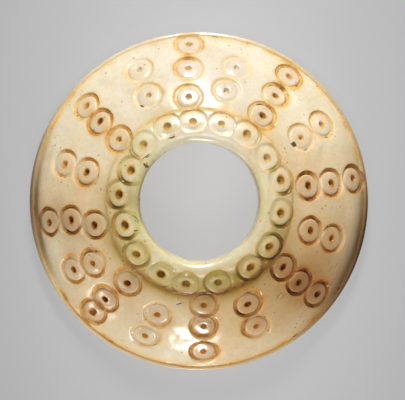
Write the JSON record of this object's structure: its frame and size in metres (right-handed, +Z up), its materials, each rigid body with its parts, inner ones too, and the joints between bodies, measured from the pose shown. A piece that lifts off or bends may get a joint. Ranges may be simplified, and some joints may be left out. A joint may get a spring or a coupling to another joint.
{
  "type": "spindle whorl",
  "caption": "Domed stone disc with a wide central hole, a raised collar round it and ring-and-dot marks, which weights a hand spindle.",
  "frame": {"origin": "centre of the spindle hole at the level of the flat underside", "axes": "+Z up along the spindle hole towards the carved dome; +Y is the top of the view from above"},
  "size_m": [0.04, 0.04, 0.01],
  "materials": {
    "pale_stone": "polished, slightly see-through, with orange-brown stain in the carving"
  },
  "bodies": {
    "root": {"whorl": "pale_stone"}
  },
  "joints": []
}
